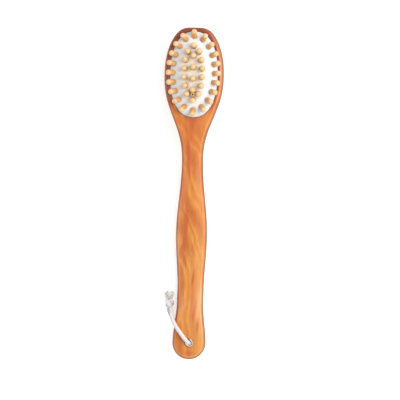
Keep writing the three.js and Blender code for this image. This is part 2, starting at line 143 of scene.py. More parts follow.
def measure(piece):
    """Prints how big a piece is, its triangles, and its open edges, which a closed piece has none of."""
    mesh = piece.data
    mesh.calc_loop_triangles()
    loop_edges = np.empty(len(mesh.loops), int)
    mesh.loops.foreach_get("edge_index", loop_edges)
    uses = np.bincount(loop_edges, minlength=len(mesh.edges))
    size = points_of(piece).max(0) - points_of(piece).min(0)
    print(
        f"{piece.name}: {np.round(size / MM, 1)} mm, {len(mesh.loop_triangles)} triangles,",
        f"{int((uses != 2).sum())} open edges",
    )


def stand_for(piece, body, slot, *nodes):
    """The piece rides on its body and stands for its CAD nodes, which it hides. The slot is not used."""
    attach(piece, body)
    if nodes:
        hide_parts(*nodes)


# %% [markdown]
# ## Materials as small networks of nodes
#
# A real finish is never one colour. Each material below mixes a few tones by noise that is stretched the
# way the stuff grows or is made, and uses the same noise for its sheen and its relief. The helpers only
# save typing: one adds a node and sets its values, one joins two sockets.


# %% Helpers for materials
def new_material(name):
    material = bpy.data.materials.new(name)
    material.use_nodes = True
    return material, material.node_tree.nodes["Principled BSDF"]


def node(material, kind, values=None, **settings):
    made = material.node_tree.nodes.new("ShaderNode" + kind)
    for key, value in settings.items():
        setattr(made, key, value)
    for key, value in (values or {}).items():
        made.inputs[key].default_value = value
    return made


def join(material, source, target):
    material.node_tree.links.new(source, target)


def stretched_noise(material, scale, detail=3.0, roughness=0.55, distortion=0.0, turn=(0, 0, 0)):
    """Noise on Object coordinates, in features per metre along X, Y and Z."""
    place = node(material, "TexCoord").outputs["Object"]
    mapping = node(material, "Mapping", {"Scale": scale, "Rotation": turn})
    join(material, place, mapping.inputs["Vector"])
    noise = node(
        material,
        "TexNoise",
        {"Scale": 1.0, "Detail": detail, "Roughness": roughness, "Distortion": distortion},
    )
    join(material, mapping.outputs["Vector"], noise.inputs["Vector"])
    return noise.outputs["Fac"]


def ramp(material, source, stops):
    """Turns a value into a colour, with stops of (place, (red, green, blue))."""
    made = node(material, "ValToRGB")
    elements = made.color_ramp.elements
    while len(elements) < len(stops):
        elements.new(0.5)
    for element, (place, colour) in zip(elements, stops):
        element.position = place
        element.color = (*colour, 1.0)
    join(material, source, made.inputs["Fac"])
    return made.outputs["Color"]


def grey_ramp(material, source, low, high, start=0.0, end=1.0):
    return ramp(material, source, [(low, (start,) * 3), (high, (end,) * 3)])


def blend_colours(material, share, first, second, kind="MIX"):
    """Mixes two colours, each a socket or a colour, by a share that is a socket or a number."""
    mix = node(material, "Mix", data_type="RGBA", blend_type=kind)
    for key, value in ((0, share), (6, first), (7, second)):
        if isinstance(value, bpy.types.NodeSocket):
            join(material, value, mix.inputs[key])
        elif key == 0:
            mix.inputs[key].default_value = value
        else:
            mix.inputs[key].default_value = (*value, 1.0)
    return mix.outputs[2]


def split(material, vector):
    """The X, Y and Z of a vector."""
    made = node(material, "SeparateXYZ")
    join(material, vector, made.inputs["Vector"])
    return made.outputs


def map_range(material, source, low, high, start, end):
    made = node(material, "MapRange", {1: low, 2: high, 3: start, 4: end})
    join(material, source, made.inputs["Value"])
    return made.outputs["Result"]


def soft_ball(material, vector, middle, half_size, degrees=0):
    """1 in the middle of an upright oval column, falling to 0 at its side."""
    spot = node(
        material,
        "Mapping",
        {"Location": (*middle, 0), "Rotation": (0, 0, math.radians(degrees)), "Scale": (*half_size, 1)},
        vector_type="TEXTURE",
    )
    join(material, vector, spot.inputs["Vector"])
    ball = node(material, "TexGradient", gradient_type="SPHERICAL")
    join(material, spot.outputs["Vector"], ball.inputs["Vector"])
    return ball.outputs["Fac"]


def arithmetic(material, operation, *values):
    made = node(material, "Math", operation=operation)
    for i, value in enumerate(values):
        if isinstance(value, bpy.types.NodeSocket):
            join(material, value, made.inputs[i])
        else:
            made.inputs[i].default_value = value
    return made.outputs[0]


def relief(material, shader, height, distance, strength=1.0):
    bump = node(material, "Bump", {"Distance": distance, "Strength": strength})
    join(material, height, bump.inputs["Height"])
    join(material, bump.outputs["Normal"], shader.inputs["Normal"])


# %% [markdown]
# ## The cord's facts and its route
#
# It is one length of soft three-strand cotton, 5 mm thick. It leaves the knot, rises over the edge of the
# handle, drops through the hole, and comes back to the knot along the surface that the brush lies on.
# A curve with a bevel would give a plain tube. We sweep a three-lobed section along the route instead,
# and turn it as it goes, because the twist is what makes a rope look like one.

# %% The cord's route
HOLE = Vector((0.0, -0.189, 0.0))
CORD_RADIUS = 0.0025
# X and Y from the middle of the hole, Z from the surface, in millimetres
CORD_POINTS = [
    (-24.5, 42.8, 8.9),
    (-23.9, 39.6, 11.8),
    (-22.9, 34.6, 16.2),
    (-20.9, 28.8, 20.9),
    (-17.4, 22.2, 24.5),
    (-11.7, 14.3, 25.9),
    (-5.9, 6.7, 26),
    (-2.4, 2.5, 24.5),
    (0.2, -0.2, 20.5),
    (1.1, -1.3, 15),
    (0.2, -0.2, 9.5),
    (-2.4, 2.5, 5.5),
    (-5.9, 6.7, 4),
    (-11.7, 13.9, 3.4),
    (-17.6, 21.4, 3.2),
    (-22, 28.2, 3.1),
    (-25.4, 34.6, 3.1),
    (-27.8, 40.2, 3.2),
    (-28.5, 43, 3.4),
]


def smooth_route(points, closed=False, steps=16):
    """A centripetal Catmull-Rom curve through the points, as an even row of places."""
    p = np.array(points, float)
    if closed:
        p = np.vstack([p[-1], p, p[0], p[1]])
    else:
        p = np.vstack([2 * p[0] - p[1], p, 2 * p[-1] - p[-2]])
    made = []
    for a, b, c, d in zip(p, p[1:], p[2:], p[3:]):
        knots = np.cumsum([0] + [max(np.linalg.norm(v), 1e-9) ** 0.5 for v in (b - a, c - b, d - c)])
        t0, t1, t2, t3 = knots
        for t in np.linspace(t1, t2, steps, endpoint=False):
            ab = ((t1 - t) * a + (t - t0) * b) / (t1 - t0)
            bc = ((t2 - t) * b + (t - t1) * c) / (t2 - t1)
            cd = ((t3 - t) * c + (t - t2) * d) / (t3 - t2)
            abc = ((t2 - t) * ab + (t - t0) * bc) / (t2 - t0)
            bcd = ((t3 - t) * bc + (t - t1) * cd) / (t3 - t1)
            made.append(((t2 - t) * abc + (t - t1) * bcd) / (t2 - t1))
    if not closed:
        made.append(p[-2])
    return np.array(made)


def spaced(route, pitch, closed=False):
    """The same route as places that are evenly spaced along it, about a pitch apart."""
    line = np.vstack([route, route[:1]]) if closed else route
    run = np.concatenate([[0], np.cumsum(np.linalg.norm(np.diff(line, axis=0), axis=1))])
    count = max(2, round(run[-1] / pitch))
    at = np.linspace(0, run[-1], count + 1)
    even = np.stack([np.interp(at, run, line[:, k]) for k in range(3)], axis=1)
    return (even[:-1] if closed else even), run[-1]


cord_route = smooth_route([Vector(p) * MM + HOLE for p in CORD_POINTS])
cord_places, cord_length = spaced(cord_route, 0.0007)
print("cord length:", round(cord_length / MM, 1), "mm")

# %% [markdown]
# The section is carried along the route without turning of its own, which keeps the mesh from kinking
# where the rope bends. The twist is then added by hand: one turn of the lay every 17 mm. Each ring keeps
# its place round and along the rope as a UV map, so that the yarn pattern can follow the twist.


# %% Sweep a rope along a route
def carried_frames(places, closed=False):
    ahead = np.roll(places, -1, 0) - np.roll(places, 1, 0)
    if not closed:
        ahead[0], ahead[-1] = places[1] - places[0], places[-1] - places[-2]
    ahead /= np.linalg.norm(ahead, axis=1)[:, None]
    side = np.cross(ahead[0], (0.3, 0.2, 1.0))
    sides = []
    for direction in ahead:
        side = side - direction * side.dot(direction)
        side /= np.linalg.norm(side)
        sides.append(side)
    sides = np.array(sides)
    return ahead, sides, np.cross(ahead, sides)


def rope(name, places, radius, lay=0.017, lobe=0.13, around=30, closed=False):
    """A rope of three strands: rings along the places, with the ends closed."""
    ahead, side, over = carried_frames(places, closed)
    steps = np.linalg.norm(np.diff(places, axis=0), axis=1)
    run = np.concatenate([[0], np.cumsum(steps)])
    turn = 2 * math.pi * run / lay
    if closed:
        # the last ring meets the first, so the frame's own drift and the lay are spread evenly
        drift = math.atan2(side[0].dot(over[-1]), side[0].dot(side[-1]))
        whole = 2 * math.pi / 3 * round((turn[-1] * 1.5) / math.pi)
        turn = np.linspace(0, 1, len(places), endpoint=False) * (whole + drift)
    angle = np.arange(around) / around * 2 * math.pi
    profile = 1 - lobe + lobe * np.abs(np.cos(1.5 * angle)) ** 0.7
    spin = angle[None, :] + turn[:, None]
    rings = places[:, None, :] + radius * profile[None, :, None] * (
        np.cos(spin)[..., None] * side[:, None, :] + np.sin(spin)[..., None] * over[:, None, :]
    )
    count = len(places)
    faces = []
    for i in range(count if closed else count - 1):
        j = (i + 1) % count
        for k in range(around):
            m = (k + 1) % around
            faces.append((i * around + k, i * around + m, j * around + m, j * around + k))
    if not closed:
        faces.append(tuple(range(around - 1, -1, -1)))
        faces.append(tuple(range((count - 1) * around, count * around)))
    mesh = bpy.data.meshes.new(name)
    mesh.from_pydata(rings.reshape(-1, 3), [], faces)
    piece = bpy.data.objects.new(name, mesh)
    bpy.context.scene.collection.objects.link(piece)
    give_rope_uv(piece, count, around, run)
    edit(piece)
    close(piece)
    smooth(piece, 60)
    return piece


def give_rope_uv(piece, count, around, run):
    """U goes once round the rope and turns with it, and V is the way along, in metres."""
    mesh = piece.data
    uv = mesh.uv_layers.new(name="lay").data
    for face in mesh.polygons:
        ks = [v % around for v in face.vertices]
        ends = [v // around for v in face.vertices]
        wraps = max(ks) - min(ks) == around - 1 and len(ks) == 4
        seam = count - 1 in ends and 0 in ends and len(ks) == 4
        for loop, k, i in zip(face.loop_indices, ks, ends):
            u = (k + (around if wraps and k == 0 else 0)) / around
            v = run[-1] + run[1] if seam and i == 0 else run[i]
            uv[loop].uv = (u, v)


hanging_cord = rope("hanging_cord_rope", cord_places, CORD_RADIUS * 1.03)
measure(hanging_cord)

# %% [markdown]
# ## The knot
#
# Both strands are tied in one overhand knot. Pulled tight, such a knot is a small barrel of crossing
# turns. A torus knot, stretched along its axis, has just those crossings, so the same rope is swept along
# it as a closed ring. It lies on the surface, its axis in line with the cord.

# %% Tie the knot
KNOT_MIDDLE = Vector((-27, 49.5, 6.0)) * MM + HOLE
KNOT_STRAND = 2.15 * MM
knot_turn = np.linspace(0, 2 * math.pi, 180, endpoint=False)
knot_reach = (2.6 + 1.25 * np.cos(3 * knot_turn)) * MM
knot_line = np.stack(
    [
        knot_reach * np.cos(2 * knot_turn),
        3.9 * MM * np.sin(3 * knot_turn),
        knot_reach * np.sin(2 * knot_turn) * 0.95,
    ],
    axis=1,
)
knot_axis = Matrix.Rotation(math.radians(4), 3, "Z")
knot_line = knot_line @ np.array(knot_axis.transposed()) + np.array(KNOT_MIDDLE)
knot_places, _ = spaced(knot_line, 0.0006, closed=True)
cord_knot = rope("cord_knot_tied", knot_places, KNOT_STRAND, lay=0.013, around=24, closed=True)
measure(cord_knot)

# %% [markdown]
# ## The frayed tails
#
# Past the knot each end is left open, and its yarns come apart in a small brush. One yarn is a thin
# tapered tube of a few faces. It is bent along its own path and repeated: packed tight at the knot,
# spread at the tips, and curling up from the surface. All randomness comes from one seeded source.

# %% Fray the two ends
random_source = np.random.default_rng(7)
# each next yarn or bristle stands this angle further round, which packs them evenly
GOLDEN_TURN = 2.39996


def thin_tubes(name, paths, radii, sides=4):
    """One mesh of many thin tubes. Each path is a row of places, each radius goes with a place."""
    corners, faces = [], []
    angle = np.arange(sides) / sides * 2 * math.pi
    for path, radius in zip(paths, radii):
        _, side, over = carried_frames(path)
        start = len(corners)
        for place, s, o, r in zip(path, side, over, radius):
            corners.extend(place + r * (math.cos(a) * s + math.sin(a) * o) for a in angle)
        for i in range(len(path) - 1):
            for k in range(sides):
                m = (k + 1) % sides
                a = start + i * sides
                faces.append((a + k, a + m, a + sides + m, a + sides + k))
        faces.append(tuple(start + k for k in range(sides - 1, -1, -1)))
        last = start + (len(path) - 1) * sides
        faces.append(tuple(last + k for k in range(sides)))
    mesh = bpy.data.meshes.new(name)
    mesh.from_pydata(corners, [], faces)
    piece = bpy.data.objects.new(name, mesh)
    bpy.context.scene.collection.objects.link(piece)
    only(piece)
    bpy.ops.object.shade_smooth()
    return piece


def frayed_end(name, side, yarns=110):
    """A brush of loose yarns that leaves the knot along the board and curls up to an open cup."""
    root = np.array(KNOT_MIDDLE + Vector((side * 1.7, 3.2, -1.4)) * MM)
    along = np.linspace(0, 1, 9)
    lift = math.radians(66) * along**0.8
    ahead = np.stack([np.zeros(9), np.cos(lift), np.sin(lift)], axis=1)
    outward = np.stack([np.zeros(9), -np.sin(lift), np.cos(lift)], axis=1)
    middle = np.concatenate([[np.zeros(3)], np.cumsum((ahead[1:] + ahead[:-1]) / 2, axis=0)]) / 8
    paths, radii, depth = [], [], []
    for i in range(yarns):
        share = math.sqrt((i + 0.5) / yarns)
        around = i * GOLDEN_TURN
        reach = (11.2 + random_source.uniform(-1.5, 1.1)) * MM * (1 - 0.1 * (1 - share))
        spread = share * 2.1 * MM * (1 + 1.45 * along**1.4)
        wave = random_source.uniform(-0.5, 0.5, 3)
        line = root + middle * reach + math.sin(around) * outward * spread[:, None]
        line[:, 0] += math.cos(around) * spread + side * 0.5 * along * MM
        line += np.sin(along * 5 + 6 * wave[0])[:, None] * wave * 1.1 * MM * along[:, None]
        line[:, 2] = np.maximum(line[:, 2], 0.6 * MM)
        paths.append(line)
        radii.append((0.46 - 0.12 * along) * MM)
        depth.extend([share] * len(along) * 4)
    piece = thin_tubes(name, paths, radii)
    piece.data.attributes.new("outer", "FLOAT", "POINT").data.foreach_set("value", depth)
    return piece


cord_tails = [frayed_end("cord_tail_left", -1), frayed_end("cord_tail_right", 1)]
for tail in cord_tails:
    measure(tail)

# %% [markdown]
# ## Cotton
#
# Undyed cotton is off-white and quite matt, with a soft sheen where the loose fibres catch light. The
# yarns of each strand lie at a slant to the rope. Their grooves come from a wave on the rope's own UV
# map, which also darkens them as painted shade, and fine noise breaks them up. The frayed ends are
# creamier inside.

# %% Cotton for the cord
cotton, shader = new_material("cotton")
rope_uv = node(cotton, "UVMap", uv_map="lay").outputs["UV"]
rope_part = split(cotton, rope_uv)
yarn_turn = arithmetic(cotton, "MULTIPLY", rope_part["X"], 18 * math.pi)
yarn_run = arithmetic(cotton, "MULTIPLY", rope_part["Y"], 3400.0)
yarn_wave = arithmetic(cotton, "SINE", arithmetic(cotton, "ADD", yarn_turn, yarn_run))
yarn = arithmetic(cotton, "MULTIPLY_ADD", yarn_wave, 0.5, 0.5)
fuzz = stretched_noise(cotton, (2600, 2600, 2600), detail=2)
stain = stretched_noise(cotton, (210, 210, 210), detail=2)
# painted shade: the grooves of the yarn wave are darker in colour
groove_shaded = ramp(cotton, yarn, [(0.0, (0.50, 0.46, 0.46)), (0.55, (0.76, 0.745, 0.735))])
stain_share = grey_ramp(cotton, stain, 0.45, 0.7, 0.0, 0.4)
tinted = blend_colours(cotton, stain_share, groove_shaded, (0.68, 0.60, 0.585))
fuzz_shade = grey_ramp(cotton, fuzz, 0.3, 0.7, 0.75, 1.0)
cotton_colour = blend_colours(cotton, 0.25, tinted, fuzz_shade, "MULTIPLY")
join(cotton, cotton_colour, shader.inputs["Base Color"])
shader.inputs["Roughness"].default_value = 0.9
shader.inputs["Sheen Weight"].default_value = 0.3
shader.inputs["Sheen Roughness"].default_value = 0.5
height = arithmetic(cotton, "MULTIPLY_ADD", fuzz, 0.6, arithmetic(cotton, "MULTIPLY", yarn, 0.5))
relief(cotton, shader, height, 0.0003, 0.8)
for piece in (hanging_cord, cord_knot):
    piece.data.materials.append(cotton)

frayed, shader = new_material("frayed_cotton")
outer = node(frayed, "Attribute", attribute_name="outer").outputs["Fac"]
cream = ramp(frayed, outer, [(0.12, (0.78, 0.64, 0.38)), (0.5, (0.86, 0.845, 0.82))])
loose = stretched_noise(frayed, (900, 300, 900), detail=2)
loose_shade = grey_ramp(frayed, loose, 0.3, 0.7, 0.8, 1.0)
frayed_colour = blend_colours(frayed, 0.35, cream, loose_shade, "MULTIPLY")
join(frayed, frayed_colour, shader.inputs["Base Color"])
shader.inputs["Roughness"].default_value = 0.92
shader.inputs["Sheen Weight"].default_value = 0.3
relief(frayed, shader, loose, 0.0001, 0.5)
for piece in cord_tails:
    piece.data.materials.append(frayed)

# %% The cord takes its place in the frame
stand_for(hanging_cord, "hanging_loop", "cotton_cord", "hanging_cord")
stand_for(cord_knot, "hanging_loop", "cotton_cord", "cord_knot")
stand_for(cord_tails[0], "hanging_loop", "cotton_cord", "cord_tail_1")
stand_for(cord_tails[1], "hanging_loop", "cotton_cord", "cord_tail_2")

# %% [markdown]
# ## The wooden body: its outline
#
# The real body is sawn from a plank, shaped to a template, and its edges are rounded with a cutter. We
# work in the same order. The outline below is that template, for one side, from the middle of the crown
# to the middle of the butt. Widths ease from one station to the next, so the curve has no corners except
# at the crown, which is cut nearly straight.

# %% The outline of the body
body_low, body_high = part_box("brush_body")
LENGTH = (body_high.y - body_low.y) / MM
HALF_HEAD = body_high.x / MM
HEAD_PLACE, CROWN_SWEEP, CROWN_CUT = 362, 61, 58
CROWN_SQUARENESS = 0.86  # 1 is an ellipse, less is squarer
CROWN_CORNER = 4
CROWN_ARCH_RADIUS = 300
BUTT_RADIUS = 21
# (distance from the butt end, half width)
STATIONS = [(21, 21), (72, 16.64), (88, 16.66), (158, 19.75), (249, 13.4)]


def ease(t):
    t = np.clip(t, 0, 1)
    return t * t * (3 - 2 * t)


def ease_more(t):
    t = np.clip(t, 0, 1)
    return t**3 * (t * (6 * t - 15) + 10)


def along(place, stations):
    """A size that eases from one station to the next."""
    size = np.full_like(np.asarray(place, float), stations[0][1])
    for (start, before), (end, after) in zip(stations, stations[1:]):
        size = size + (after - before) * ease((np.asarray(place) - start) / (end - start))
    return size


def half_width(place):
    neck_place, neck = STATIONS[-1]
    shoulder = (HALF_HEAD - neck) * ease_more((place - neck_place) / (HEAD_PLACE - neck_place))
    return along(place, STATIONS) + shoulder


def template():
    """One side of the outline as X and distance from the butt, from the crown to the butt."""

    def head(angle):
        across = HALF_HEAD * np.cos(angle) ** CROWN_SQUARENESS
        return np.stack([across, HEAD_PLACE + CROWN_SWEEP * np.sin(angle)], axis=1)

    def arch(x):
        return LENGTH - x**2 / (2 * CROWN_ARCH_RADIUS)

    cut = math.asin(CROWN_CUT / CROWN_SWEEP)
    corner_end = math.asin((CROWN_CUT - CROWN_CORNER) / CROWN_SWEEP)
    cut_x = head(np.array([cut]))[0, 0]
    end = head(np.array([corner_end]))[0]
    start_x = 2 * cut_x - end[0]
    flat = np.linspace(0, start_x, 40)
    t = np.linspace(0, 1, 30)[1:, None]
    start, middle = np.array([start_x, arch(start_x)]), np.array([cut_x, arch(cut_x)])
    corner = (1 - t) ** 2 * start + 2 * t * (1 - t) * middle + t**2 * end
    side = head(np.linspace(corner_end, 0, 200)[1:])
    place = np.linspace(HEAD_PLACE, BUTT_RADIUS, 700)[1:]
    handle = np.stack([half_width(place), place], axis=1)
    angle = np.linspace(0, math.pi / 2, 120)[1:]
    butt = np.stack([BUTT_RADIUS * np.cos(angle), BUTT_RADIUS * (1 - np.sin(angle))], axis=1)
    return np.vstack([np.stack([flat, arch(flat)], axis=1), corner, side, handle, butt])


half_line = np.column_stack([template(), np.zeros(len(template()))])
half_line[:, 1] -= LENGTH / 2
half_line, _ = spaced(half_line * MM, 0.0017)
half_line[0, 0] = half_line[-1, 0] = 0
outline = np.vstack([half_line, half_line[-2:0:-1] * (-1, 1, 1)])
print("outline points:", len(outline))

# %% [markdown]
# ## The wooden body: board, rounded edges, curved faces
#
# A circle with as many corners as the outline is pulled onto it, and its face is extruded to a board of
# even thickness. Bevelling both rims by 5 mm rounds the edges, as the cutter does. The board is then cut
# across every few millimetres, without parting it, only to give it points that can follow a curve, and
# every point is lifted to the height that the side view has at its place.

# %% Make the board
BOARD = 18 * MM
EDGE = 5 * MM
bpy.ops.object.select_all(action="DESELECT")
bpy.ops.mesh.primitive_circle_add(vertices=len(outline), radius=0.1, fill_type="NGON")
brush_wood = bpy.context.object
brush_wood.name = "brush_wood"
move_points(brush_wood, outline)
edit(brush_wood)
bpy.ops.mesh.extrude_region_move(TRANSFORM_OT_translate={"value": (0, 0, BOARD)})
close(brush_wood)
edges = np.empty(len(brush_wood.data.edges) * 2, int)
brush_wood.data.edges.foreach_get("vertices", edges)
heights = points_of(brush_wood)[edges.reshape(-1, 2), 2]
rim = np.abs(heights[:, 0] - heights[:, 1]) < 1e-6
edit(brush_wood, faces=False)
bpy.ops.mesh.select_all(action="DESELECT")
bpy.ops.object.mode_set(mode="OBJECT")
brush_wood.data.edges.foreach_set("select", rim)
bpy.ops.object.mode_set(mode="EDIT")
bpy.ops.mesh.bevel(offset=EDGE, segments=9, profile=0.5, affect="EDGES")
close(brush_wood)
measure(brush_wood)

# %% Cut the board across, and along
edit(brush_wood)
for y in np.arange(-0.2065, 0.208, 0.0035):
    bpy.ops.mesh.select_all(action="SELECT")
    bpy.ops.mesh.bisect(plane_co=(0, float(y), 0), plane_no=(0, 1, 0))
for x in (-12.5, -8.5, -4.5, 0, 4.5, 8.5, 12.5):
    bpy.ops.mesh.select_all(action="SELECT")
    bpy.ops.mesh.bisect(plane_co=(x * MM, 0, 0), plane_no=(1, 0, 0))
close(brush_wood)
measure(brush_wood)

# %% Give the board its side view
THICKNESSES = [(40, 14), (150, 18), (249, 16), (300, 18)]
UNDERSIDES = [(40, 8), (102, 0), (300, 20)]
HANDLE_CROWN = 1.2
co = points_of(brush_wood)
place = co[:, 1] / MM + LENGTH / 2
under = along(place, UNDERSIDES)
top = under + along(place, THICKNESSES)
# the handle's faces are very slightly rounded across; the head stays flat
flat_half = np.maximum(half_width(np.clip(place, BUTT_RADIUS, HEAD_PLACE)) - 5, 4)
dome = np.clip(1 - (co[:, 0] / MM / flat_half) ** 2, 0, 1)
handle_only = (1 - ease((place - 225) / 60)) * ease((place - 6) / 40)
swell = HANDLE_CROWN * dome * handle_only
upper = co[:, 2] > BOARD / 2
co[:, 2] = np.where(
    upper, (top - HANDLE_CROWN * handle_only + swell) * MM - (BOARD - co[:, 2]), co[:, 2] + under * MM
)
move_points(brush_wood, co)
measure(brush_wood)

# %% [markdown]
# ## The wooden body: recess, cord hole and bristle holes
#
# A router cuts the recess: a well for air, a ledge that the rubber sits on, and a softened lip. Each
# cutter here is a closed form whose rings are extruded and resized one after another, and a boolean
# takes it out of the board. The same helper later turns the pins, as a lathe would.


# %% A form of rings
def raise_rings(name, sides, levels, power=2.0):
    """A closed form: a circle, extruded and resized from level to level of (half X, half Y, Z) in mm."""
    bpy.ops.object.select_all(action="DESELECT")
    bpy.ops.mesh.primitive_circle_add(vertices=sides, radius=1, fill_type="NGON")
    piece = bpy.context.object
    piece.name = name
    angle = np.arange(sides) / sides * 2 * math.pi
    wide, deep, low = levels[0]
    ring = np.stack(
        [
            wide * np.sign(np.cos(angle)) * np.abs(np.cos(angle)) ** (2 / power),
            deep * np.sign(np.sin(angle)) * np.abs(np.sin(angle)) ** (2 / power),
            np.full(sides, low),
        ],
        axis=1,
    )
    move_points(piece, ring * MM)
    edit(piece)
    for wider, deeper, high in levels[1:]:
        bpy.ops.mesh.extrude_region_move(TRANSFORM_OT_translate={"value": (0, 0, (high - low) * MM)})
        if wider == 0:
            bpy.ops.mesh.merge(type="CENTER")
            break
        size = (wider / wide, deeper / deep, 1)
        bpy.ops.transform.resize(value=size, center_override=(0, 0, high * MM))
        wide, deep, low = wider, deeper, high
    close(piece)
    return piece


def place_piece(piece, matrix):
    piece.data.transform(matrix)
    piece.data.update()


def cut_out(piece, cutter):
    """Takes the cutter out of the piece, and removes the cutter."""
    modify(piece, "BOOLEAN", operation="DIFFERENCE", solver="EXACT", object=cutter)
    bpy.data.objects.remove(cutter)


# %% Cut the recess and the cord hole
HEAD_TOP, LEDGE_TOP, WELL_FLOOR = 38.0, 33.5, 27.5
RECESS = (30.5, 54.3)
RECESS_Y = 150.5
LIP = 1.4
OVAL = 2.3
lip_steps = [math.radians(a) for a in (0, 18, 36, 54, 72, 90)]
levels = [(RECESS[0] - 3, RECESS[1] - 3, WELL_FLOOR), (RECESS[0] - 3, RECESS[1] - 3, LEDGE_TOP)]
levels += [(*RECESS, LEDGE_TOP)]
for a in lip_steps:
    grow, rise = LIP * (1 - math.cos(a)), LIP * (1 - math.sin(a))
    levels.append((RECESS[0] + grow, RECESS[1] + grow, HEAD_TOP - rise))
levels.append((RECESS[0] + LIP, RECESS[1] + LIP, HEAD_TOP + 2))
recess = raise_rings("recess_cutter", 160, levels, OVAL)
place_piece(recess, Matrix.Translation((0, RECESS_Y * MM, 0)))
cut_out(brush_wood, recess)

HOLE_RADIUS, MOUTH = 5.2, 1.2
# just past the two faces of the butt, so that no ring of the cutter lies in a face
BUTT_LOW, BUTT_TOP = 7.85, 22.12
mouth = []
for a in (math.radians(degrees) for degrees in range(0, 91, 15)):
    mouth.append((MOUTH * (1 - math.sin(a)), MOUTH * (1 - math.cos(a))))
levels = [(HOLE_RADIUS + MOUTH, HOLE_RADIUS + MOUTH, BUTT_LOW - 2)]
levels += [(HOLE_RADIUS + out, HOLE_RADIUS + out, BUTT_LOW + rise) for out, rise in mouth]
levels += [(HOLE_RADIUS + out, HOLE_RADIUS + out, BUTT_TOP - rise) for out, rise in reversed(mouth)]
levels += [(HOLE_RADIUS + MOUTH, HOLE_RADIUS + MOUTH, BUTT_TOP + 2)]
cord_hole = raise_rings("cord_hole_cutter", 56, levels)
place_piece(cord_hole, Matrix.Translation(HOLE))
cut_out(brush_wood, cord_hole)
measure(brush_wood)

# %% [markdown]
# The bristle tufts stand in blind holes, drilled in rows that get shorter towards both ends of the head.
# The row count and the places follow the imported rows, which give each row's place and width.

# %% Drill the bristle holes
ROW_NAMES = sorted(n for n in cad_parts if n.startswith("bristle_row_"))
TUFT_PITCH = 8.2
TUFT_TIP = 4.6
tuft_places = {}
for name in ROW_NAMES:
    low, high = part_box(name)
    count = round(((high.x - low.x) / MM - 2 * TUFT_TIP) / TUFT_PITCH) + 1
    y = (low.y + high.y) / 2
    tuft_places[name] = [(TUFT_PITCH * MM * (i - (count - 1) / 2), y) for i in range(count)]
print("tufts:", sum(len(places) for places in tuft_places.values()))


def repeat(name, shape, matrices):
    """One mesh that holds a copy of the shape for each matrix. The shape itself is removed."""
    co = np.c_[points_of(shape), np.ones(len(shape.data.vertices))]
    faces = [tuple(face.vertices) for face in shape.data.polygons]
    corners = np.vstack([(co @ np.array(m).T)[:, :3] for m in matrices])
    step = len(co)
    repeated = [tuple(v + i * step for v in face) for i in range(len(matrices)) for face in faces]
    mesh = bpy.data.meshes.new(name)
    mesh.from_pydata(corners, [], repeated)
    piece = bpy.data.objects.new(name, mesh)
    bpy.context.scene.collection.objects.link(piece)
    bpy.data.objects.remove(shape)
    return piece


drill_levels = [(2.6, 2.6, 19.6), (2.15, 2.15, 20.4), (2.15, 2.15, 23.4), (0.6, 0.6, 24.0)]
drill = raise_rings("drill", 16, drill_levels)
spots = [Matrix.Translation((x, y, 0)) for places in tuft_places.values() for x, y in places]
cut_out(brush_wood, repeat("bristle_hole_cutter", drill, spots))
smooth(brush_wood, 32)
modify(brush_wood, "WEIGHTED_NORMAL", keep_sharp=True, weight=60)
measure(brush_wood)

# %% [markdown]
# ## Lacquered wood
#
# Wood is a stack of growth rings round the pith, and the board is cut from beside it. So the figure is a
# wave of rings about an axis beside and below the board, slightly out of line with it, and bent by slow
# noise. An even stripe would be simpler, but it would look printed.

# %% Growth rings in the wood
lacquered, shader = new_material("lacquered_wood")
place = node(lacquered, "TexCoord").outputs["Object"]
slow = node(lacquered, "Mapping", {"Scale": (22.0, 5.0, 22.0)})
join(lacquered, place, slow.inputs["Vector"])
bend = node(lacquered, "TexNoise", {"Scale": 1.0, "Detail": 3.0, "Roughness": 0.5})
join(lacquered, slow.outputs["Vector"], bend.inputs["Vector"])
shift = node(lacquered, "VectorMath", {1: (0.5, 0.5, 0.5)}, operation="SUBTRACT")
join(lacquered, bend.outputs["Color"], shift.inputs[0])
wander = node(lacquered, "VectorMath", {1: (0.022, 0.0, 0.022)}, operation="MULTIPLY")
join(lacquered, shift.outputs[0], wander.inputs[0])
bent = node(lacquered, "VectorMath", operation="ADD")
join(lacquered, place, bent.inputs[0])
join(lacquered, wander.outputs[0], bent.inputs[1])
pith = node(
    lacquered,
    "Mapping",
    {"Location": (0.020, 0.0, 0.046), "Rotation": (math.radians(5.5), 0, math.radians(2.0))},
)
join(lacquered, bent.outputs[0], pith.inputs["Vector"])
# the marks that are listed further down follow a gentler bend
little = node(lacquered, "VectorMath", {1: (0.010, 0.0, 0.0)}, operation="MULTIPLY")
join(lacquered, shift.outputs[0], little.inputs[0])
bent_place = node(lacquered, "VectorMath", operation="ADD")
join(lacquered, place, bent_place.inputs[0])
join(lacquered, little.outputs[0], bent_place.inputs[1])
growth = node(
    lacquered,
    "TexWave",
    {"Scale": 26.0, "Distortion": 1.2, "Detail": 2.0, "Detail Scale": 1.4},
    wave_type="RINGS",
    rings_direction="Y",
    wave_profile="SIN",
)
join(lacquered, pith.outputs["Vector"], growth.inputs["Vector"])
streak = stretched_noise(lacquered, (150, 6.5, 150), detail=3, distortion=0.4)
heart = stretched_noise(lacquered, (75, 9, 60), detail=2, distortion=0.6, turn=(0, 0, math.radians(3)))
fibre = stretched_noise(lacquered, (760, 24, 760), detail=5, roughness=0.65)
patch = stretched_noise(lacquered, (26, 7, 20), detail=2)

# %% [markdown]
# The rings are coloured first. Redder heart streaks, thin dark streaks and paler patches lie over them,
# each by its own noise, which is stretched along the board as fibres are.

